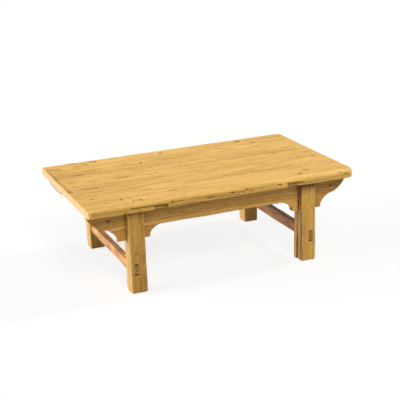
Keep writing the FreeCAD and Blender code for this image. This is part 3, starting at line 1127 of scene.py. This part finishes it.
def batten(name, seed):
    """One batten: a bar under the top and its key."""
    node = "top_batten_" + name
    low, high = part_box(node)
    middle_x = (low.x + high.x) / 2
    reach = -apron_high.y - batten_apron_gap
    wood = dict(
        grain=ACROSS, pith=(middle_x + 0.03, 0, low.z + 0.06),
        pitch=0.005, wander=0.008, wander_length=0.3, seed=seed, shade=lambda points: 0.0)
    near, far = (low.x, -reach, low.z), (high.x, reach, underside)
    piece = made(node + "_elm", *worn_bar(ACROSS, near, far, batten_cell, batten_arris, batten_arris, seed))
    weather(piece, wood, ACROSS, relief=0.0005, hollow=0.0006)
    key_foot = underside - 2 * batten_arris
    points, quads = worn_bar(
        ACROSS, (middle_x - key_neck / 2, low.y, key_foot),
        (middle_x + key_neck / 2, high.y - tenon_sink, high.z), batten_cell, key_round, key_round, seed)
    share = (points[:, 2] - key_foot) / (high.z - key_foot)
    lifted = underside + tenon_ease + share * (high.z - underside - tenon_ease)
    points[:, 2] = np.where(np.abs(points[:, 1]) > reach - batten_arris, lifted, points[:, 2])
    fit(piece, "UNION", made("key", dovetail(points, middle_x, high.z), quads))
    dress(piece, wood, [], batten_elm, node)


for number, name in enumerate(BATTENS):
    batten(name, 401 + 20 * number)

# Top: two thick elm boards side by side, tongued and grooved along a slanting seam. The long edges are worn
# round, the corners knocked off and the lower front edge broken in places. The leg tenons show in their
# mortises.
# The top's end colour is paler than its wood: partly pale end grain, partly a painted highlight where the
# light from the left falls on the left end.
top_elm = elm(
    "top_elm", ALONG, dullness=0.5, grime=0.55,
    Pale=(240, 198, 112), Deep=(188, 138, 62), Pore=(132, 90, 42),
    End=(248, 212, 164), Rubbed=(246, 206, 72), Dirt=(100, 68, 36),
)
top_cell = 0.0021
top_step = 0.0055
top_rim = 0.004
end_run = 0.03
end_arris = 0.002
upper_round = 0.0095
lower_round = 0.0035
seam_arris = 0.0008
seam_gap = 0.0005
edge_wave = 0.0008
edge_ripple = 0.0004
front_corners = (0.016, 0.030)
back_corners = (0.005, 0.008)
front_round = (0.0045, 0.009, 0.013)
back_round = 0.003
tongue_thickness = 0.008
tongue_depth = 0.009
mortise_gap = 0.003
break_edge = 0.0005
belly_depth = 0.010
belly_length = 0.110
belly_side_share = 0.8
belly_crown_share = 0.3
mark_depth = 0.01
groove_stain = 0.58
seam_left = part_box("top_board_front")[1].y
seam_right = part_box("top_board_back")[0].y + tongue_depth
tongue_middle = (underside + table_height) / 2
tongue_half = tongue_thickness / 2


def seam(x):
    """Place of the seam across the table, at a place along it."""
    return seam_left + (seam_right - seam_left) * (x - cad_low.x) / (cad_high.x - cad_low.x)


def top_places(breaks):
    """Places along a board: close set at the ends and where an edge breaks off, and even between."""
    close = end_run * np.linspace(0, 1, 12) ** 2
    count = round((cad_high.x - cad_low.x - 2 * end_run) / top_step)
    even = np.linspace(cad_low.x + end_run, cad_high.x - end_run, count + 1)[1:-1]
    extra = [x + step for x in breaks for step in (-0.0006, 0.0006, 0.002, 0.0035)]
    return np.unique(np.concatenate([cad_low.x + close, even, extra, cad_high.x - close]))


def corner_setback(spots, corners):
    """How far a long edge draws in at the rounded corners of the top."""
    drawn = np.zeros(len(spots))
    for gap, radius in zip((spots - cad_low.x, cad_high.x - spots), corners):
        short = np.clip(radius - gap, 0, radius)
        drawn += radius - np.sqrt(radius * radius - short * short)
    return drawn


def edge_sway(spots, seed):
    """How far a long edge wanders inward along the board."""
    wave = edge_wave * (1 + line_noise(spots, 0.11, seed)) / 2
    return wave + edge_ripple * (1 + line_noise(spots, 0.02, seed + 1))


def top_board(name, spots, near_y, far_y, radii):
    """Plain board of the top between two lines across the table."""
    inset = end_inset(spots, end_arris)
    near = np.stack([near_y, underside + inset], -1)
    far = np.stack([far_y, table_height - inset], -1)
    return made(name, *bar(ALONG, spots, near, far, top_cell, top_rim, radii))


def top_wood(pith, seed):
    """Wood of one board of the top."""
    return dict(
        grain=ALONG, pith=pith, pitch=0.009, wander=0.02, wander_length=0.4, seed=seed, shade=front_tone_and_painted_light)


def front_tone_and_painted_light(points):
    """Deeper colour at the left of the front edge and paler to its right: painted light, for front light
    that grows to the right.
    """
    return ease(-0.2, -0.28, points[:, 1]) * (0.08 - 0.3 * ease(-0.25, 0.35, points[:, 0]))


def mortises(face):
    """Cutters for the leg tenons of one side, with a worn gap at both ends of each."""
    cutters = []
    for side in SIDES:
        for near, far in head_tenons(side, face, tenon_ease):
            cutters.append(block(
                (near[0] - mortise_gap, near[1], underside - overrun),
                (far[0] + mortise_gap, far[1], table_height + overrun)))
    return cutters


def housings():
    """Cutters for the batten keys, open at the back edge."""
    cutters = []
    for name in BATTENS:
        low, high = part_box("top_batten_" + name)
        middle_x = (low.x + high.x) / 2
        half = key_neck / 2 + tenon_ease
        cutters.append(block(
            (middle_x - half, low.y - tenon_ease, underside - overrun / 2),
            (middle_x + half, cad_high.y + overrun, high.z + tenon_ease),
            lambda corners: dovetail(corners, middle_x, high.z)))
    return cutters


def beside_seam(end_gap, near, far, room):
    """Bar along the seam, for the tongue or its groove: gap at both ends, reach to each side, and room."""
    def slant(corners):
        corners[:, 1] += seam(corners[:, 0])
        return corners

    return block(
        (cad_low.x + end_gap, near, tongue_middle - tongue_half - room),
        (cad_high.x - end_gap, far, tongue_middle + tongue_half + room), slant)


# Each break in the lower front edge: where it starts and ends, its fade at the right, its depth and height.
FRONT_BREAKS = (
    (-0.258, -0.212, 0.002, 0.0085, 0.0145),
    (0.219, 0.283, 0.030, 0.0085, 0.0155),
    (-0.362, -0.342, 0.010, 0.004, 0.008),
)


def break_front_edge(piece):
    """Breaks off the lower front edge along short runs, each abrupt at its left and fading to its right."""
    points = read(piece)
    for start, end, fade, bite, height in FRONT_BREAKS:
        along = ease(start - break_edge, start + break_edge, points[:, 0])
        along *= ease(end, end - fade, points[:, 0])
        up = ease(height, 0.85 * height, points[:, 2] - underside)
        rough = 0.75 + 0.25 * noise(points, (0.006, 0.004, 0.004), 17)
        zone = np.clip(1 - (points[:, 1] - cad_low.y) / (3 * bite), 0, 1)
        points[:, 1] += bite * along * up * rough * zone
    write(piece, points)


def swell(piece):
    """Lets the back board down into a rough swelling under its left end."""
    points = read(piece)
    far_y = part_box("leg_back_left")[0].y
    across = np.clip((points[:, 1] - seam_left) / (far_y - seam_left), 0, 1)
    climb = np.sin(np.clip(across / belly_crown_share, 0, 1) * np.pi / 2)
    rising = belly_side_share + (1 - belly_side_share) * climb
    falling = np.cos(ease(belly_crown_share, 1, across) * np.pi / 2)
    fade = np.clip(1 - (points[:, 0] - cad_low.x) / belly_length, 0, 1)
    rough = 0.9 + 0.1 * noise(points, (0.02, 0.012, 0.02), 23)
    depth = belly_depth * np.minimum(rising * falling, fade) * rough
    share = np.clip((table_height - points[:, 2]) / (table_height - underside), 0, 1)
    points[:, 2] -= depth * share
    write(piece, points)


def top_marks(rows):
    """Marks on the tabletop: start and end along and across it, half widths, and strength."""
    return [((x, y, table_height), (to_x, to_y, table_height), (along, across, mark_depth), strength)
            for x, y, to_x, to_y, along, across, strength in rows]


FRONT_GROOVES = face_marks(0, cad_low.y, [
    (-0.330, 0.3035, -0.262, 0.304, 0.004, 0.0018, 0.0025),
    (-0.212, 0.3045, -0.155, 0.306, 0.004, 0.0018, 0.0025),
    (-0.156, 0.3145, -0.132, 0.315, 0.003, 0.0018, 0.003),
    (-0.390, 0.3155, -0.373, 0.3155, 0.003, 0.0018, 0.003),
    (-0.07, 0.296, 0.04, 0.296, 0.004, 0.0018, 0.002),
    (0.215, 0.3045, 0.262, 0.305, 0.004, 0.0018, 0.003),
    (0.183, 0.3055, 0.197, 0.3045, 0.003, 0.0022, 0.004),
    (0.013, 0.3045, 0.024, 0.303, 0.003, 0.0028, 0.004),
    (0.038, 0.299, 0.062, 0.307, 0.003, 0.0014, 0.0015),
    (-0.078, 0.2985, -0.042, 0.2995, 0.003, 0.002, 0.003),
    (-0.197, 0.3105, -0.193, 0.307, 0.0025, 0.003, 0.0035),
    (0.440, 0.308, 0.450, 0.3035, 0.003, 0.002, 0.004),
])
FRONT_NOTCH = face_marks(0, cad_low.y, [(0.066, 0.316, 0.070, 0.307, 0.002, 0.003, 0.0035)])
END_SPLIT = ((cad_low.x, -0.055, table_height), (-0.465, -0.055, table_height), 0.0022, 0.003)
FRONT_CHECK = ((0.144, -0.150, table_height), (0.422, -0.146, table_height), 0.0015, 0.0012)
BACK_CHECK = ((-0.40, 0.127, table_height), (0.45, 0.115, table_height), 0.0015, 0.0008)

spots = top_places([x for start, end, *_ in FRONT_BREAKS for x in (start, end)])
front_radii = uneven(spots, upper_round, 501)
front_radii[:, 0] *= lower_round / upper_round
worn_more = np.interp(spots, (cad_low.x, 0.1, 0.42), front_round)
front_radii[:, 3] *= worn_more / upper_round
front_radii[:, 1:3] = seam_arris
front_wood = top_wood((0, -0.13, table_height - 0.16), 501)
front_line = cad_low.y + corner_setback(spots, front_corners) + edge_sway(spots, 503)
front_board = top_board("top_board_front_elm", spots, front_line, seam(spots) - seam_gap / 2, front_radii)
break_front_edge(front_board)
weather(
    front_board, front_wood, ALONG, relief=0.0004, hollow=0.0006,
    cuts=[*FRONT_NOTCH, FRONT_CHECK, END_SPLIT, *FRONT_GROOVES])
groove = beside_seam(-overrun, -tongue_depth - tenon_ease, overrun, tenon_ease)
fit(front_board, "DIFFERENCE", tool(groove, *mortises("front"), *housings()))
front_marks = top_marks([
    # Round the leg tenons.
    (-0.342, -0.212, -0.342, -0.212, 0.006, 0.010, 0.9),
    (-0.317, -0.212, -0.317, -0.212, 0.006, 0.010, 0.9),
    (-0.312, -0.247, -0.287, -0.247, 0.006, 0.007, 0.9),
    (0.322, -0.212, 0.340, -0.205, 0.008, 0.008, 0.55),
    (0.288, -0.242, 0.300, -0.238, 0.008, 0.008, 0.7),
    # Blotches and a split at the left end.
    (-0.425, -0.015, -0.375, -0.018, 0.02, 0.009, 0.35),
    (-0.405, -0.050, -0.350, -0.052, 0.02, 0.008, 0.3),
    (-0.385, -0.085, -0.340, -0.085, 0.02, 0.008, 0.35),
    (-0.430, -0.130, -0.405, -0.130, 0.014, 0.008, 0.4),
    (-0.434, -0.162, -0.422, -0.160, 0.008, 0.012, 0.5),
    (-0.420, -0.043, -0.375, -0.048, 0.012, 0.011, 0.5),
    (-0.445, -0.002, -0.432, -0.002, 0.009, 0.010, 0.5),
    (-0.355, -0.019, -0.318, -0.020, 0.014, 0.009, 0.42),
    (-0.412, -0.226, -0.398, -0.230, 0.012, 0.012, 0.42),
    (-0.48, -0.055, -0.465, -0.055, 0.006, 0.004, 0.9),
    (cad_low.x + 0.008, -0.06, cad_low.x + 0.008, 0.04, 0.010, 0.02, 0.5),
    # Stains and scratches over the rest.
    (-0.18, -0.205, -0.15, -0.205, 0.012, 0.006, 0.5),
    (0.06, -0.035, 0.20, -0.040, 0.02, 0.007, 0.3),
    (0.10, -0.075, 0.12, -0.075, 0.012, 0.006, 0.35),
    (0.14, -0.135, 0.40, -0.132, 0.02, 0.004, 0.35),
    (0.35, -0.050, 0.445, -0.058, 0.012, 0.007, 0.5),
    (0.45, -0.095, 0.475, -0.095, 0.01, 0.005, 0.5),
    # Dirt along the seam.
    (-0.38, 0.032, -0.355, 0.031, 0.012, 0.006, 0.5),
    (-0.28, 0.026, -0.24, 0.024, 0.012, 0.007, 0.75),
    (-0.19, 0.013, -0.14, 0.012, 0.012, 0.006, 0.5),
])
front_marks += face_marks(0, cad_low.y, [
    (-0.318, 0.297, -0.270, 0.298, 0.010, 0.004, 0.4),
    (-0.305, 0.302, -0.225, 0.303, 0.02, 0.006, 0.34),
    # Painted shade in the recesses of the two breaks in the lower front edge.
    (-0.254, 0.298, -0.214, 0.298, 0.005, 0.008, 0.85),
    (0.224, 0.297, 0.258, 0.297, 0.006, 0.007, 0.75),
    (0.262, 0.3005, 0.280, 0.301, 0.005, 0.004, 0.75),
    # Darker patches at the worn nose of the right front corner; the lower one is painted shadow under the
    # nose.
    (0.417, 0.314, 0.428, 0.313, 0.005, 0.003, 0.5),
    (0.430, 0.303, 0.446, 0.303, 0.005, 0.0025, 0.5),
    (-0.349, 0.3136, -0.348, 0.3136, 0.002, 0.002, 0.95),
])
front_marks += [(start, end, (0.003, 0.012, 0.003), 0.9) for start, end, *_ in FRONT_NOTCH]
front_marks += [(start, end, reach, groove_stain) for start, end, reach, _ in FRONT_GROOVES]
dress(front_board, front_wood, front_marks, top_elm, "top_board_front")

spots = top_places([])
back_radii = uneven(spots, upper_round, 531)
back_radii[:, 1] *= lower_round / upper_round
back_radii[:, 2] *= back_round / upper_round
back_radii[:, [0, 3]] = seam_arris
back_wood = top_wood((0, 0.19, table_height - 0.15), 531)
back_line = cad_high.y - corner_setback(spots, back_corners) - edge_sway(spots, 533)
back_board = top_board("top_board_back_elm", spots, seam(spots) + seam_gap / 2, back_line, back_radii)
swell(back_board)
weather(back_board, back_wood, ALONG, relief=0.0004, hollow=0.0005, cuts=[BACK_CHECK])
tongue = beside_seam(tenon_ease, -tongue_depth, tongue_depth, 0)
fit(back_board, "UNION", tool(tongue))
fit(back_board, "DIFFERENCE", tool(*mortises("back"), *housings()))
back_marks = top_marks([
    # Round the leg tenons.
    (-0.335, 0.247, -0.320, 0.247, 0.010, 0.012, 0.6),
    (-0.30, 0.272, -0.285, 0.272, 0.010, 0.008, 0.7),
    (0.32, 0.222, 0.338, 0.224, 0.006, 0.008, 0.75),
    (0.28, 0.265, 0.292, 0.265, 0.006, 0.010, 0.8),
    # Blotches at the left end and over the rest.
    (-0.045, 0.240, -0.028, 0.268, 0.007, 0.007, 0.65),
    (-0.15, 0.150, -0.138, 0.185, 0.006, 0.006, 0.5),
    (-0.458, 0.237, -0.432, 0.230, 0.014, 0.012, 0.6),
    (-0.372, 0.232, -0.360, 0.232, 0.012, 0.010, 0.55),
    (-0.448, 0.040, -0.436, 0.036, 0.010, 0.012, 0.6),
    (-0.408, 0.131, -0.378, 0.124, 0.010, 0.009, 0.6),
    (-0.384, 0.284, -0.359, 0.278, 0.010, 0.008, 0.6),
    (0.06, 0.195, 0.135, 0.195, 0.012, 0.007, 0.35),
    (0.43, 0.002, 0.455, 0.004, 0.012, 0.007, 0.5),
    (cad_low.x + 0.006, 0.04, cad_low.x + 0.006, 0.24, 0.008, 0.02, 0.55),
])
# Painted shade along the lower rim of the swelling under the left end.
swelling_painted_shade = ((cad_low.x, 0.06, 0.281), (cad_low.x, 0.20, 0.285), (0.012, 0.02, 0.005), 0.85)
dress(back_board, back_wood, [*back_marks, swelling_painted_shade], top_elm, "top_board_back")

# Floor, light and camera: a plain pale studio floor under soft light from the upper left, seen from the
# front left corner at the photograph's angle.
floor_reach = 30.0
floor_tint = (1, 0.96, 0.91, 1)
floor_bounce = (0.4, 0.4, 0.4, 1)
floor_paleness = 0.82
white = (1, 1, 1, 1)
floor_corners = np.array([(-1, -1, 0), (1, -1, 0), (1, 1, 0), (-1, 1, 0)])
floor = made("studio_floor", floor_corners * floor_reach, np.array([(0, 1, 2, 3)]))


def seen_directly(nodes):
    """1 for the camera's view and for what gloss and glass show, 0 for light that falls on the object."""
    ray = nodes.add("LightPath").outputs
    return nodes.most(nodes.most(ray["Is Camera Ray"], ray["Is Glossy Ray"]), ray["Is Transmission Ray"])


floor_paint = bpy.data.materials.new("studio_floor")
nodes = fresh_nodes(floor_paint)
seen = seen_directly(nodes)
matt = nodes.add("BsdfDiffuse", {"Color": nodes.blend(seen, floor_bounce, floor_tint)}).outputs[0]
glow = nodes.add("Emission", {"Color": white, "Strength": 1.0}).outputs[0]
mixed = nodes.add("MixShader", {0: nodes.times(seen, floor_paleness), 1: matt, 2: glow}).outputs[0]
nodes.add("OutputMaterial", {"Surface": mixed})
floor.data.materials.append(floor_paint)

world = bpy.data.worlds.new("studio")
bpy.context.scene.world = world
nodes = fresh_nodes(world)
light = nodes.add("Background", {"Color": white, "Strength": 0.2}).outputs[0]
backdrop = nodes.add("Background", {"Color": white, "Strength": 1.0}).outputs[0]
mixed = nodes.add("MixShader", {0: seen_directly(nodes), 1: light, 2: backdrop}).outputs[0]
nodes.add("OutputWorld", {"Surface": mixed})


def studio_light(name, towards, strength, softness, colour=(1, 1, 1)):
    """Broad, even light that comes from one direction and is soft by an angle in degrees."""
    lamp = bpy.data.lights.new(name, "SUN")
    lamp.energy = strength
    lamp.color = colour
    lamp.angle = math.radians(softness)
    placed(name, lamp).rotation_euler = Vector(towards).to_track_quat("Z", "Y").to_euler()


studio_light("key_light", (-1, 0.3, 0.3), 3.4, 45, (1, 0.98, 1.1))
studio_light("front_fill", (-0.05, -0.75, 0.65), 1.65, 22, (1, 0.93, 0.8))
studio_light("right_fill", (0.72, 0, 0.69), 1.1, 11)

camera_place = Vector((-1.25232, -3.16483, 1.30579))
camera_yaw = math.radians(21.838)
camera_pitch = math.radians(18.036)
camera_roll = math.radians(2.2917)
sensor_width = 36.0
focal_pixels = 1001.1
frame_pixels = 400
camera = placed("camera", bpy.data.cameras.new("camera"))
camera.data.sensor_width = sensor_width
camera.data.lens = sensor_width * focal_pixels / frame_pixels
ahead = Vector((
    math.sin(camera_yaw) * math.cos(camera_pitch),
    math.cos(camera_yaw) * math.cos(camera_pitch),
    -math.sin(camera_pitch),
))
level_right = Vector((math.cos(camera_yaw), -math.sin(camera_yaw), 0))
level_down = ahead.cross(level_right)
right = math.cos(camera_roll) * level_right + math.sin(camera_roll) * level_down
down = math.cos(camera_roll) * level_down - math.sin(camera_roll) * level_right
camera_turn = Matrix((right, -down, -ahead)).transposed().to_4x4()
camera.matrix_world = Matrix.Translation(camera_place) @ camera_turn
bpy.context.scene.camera = camera
bpy.context.scene.view_settings.view_transform = "Standard"
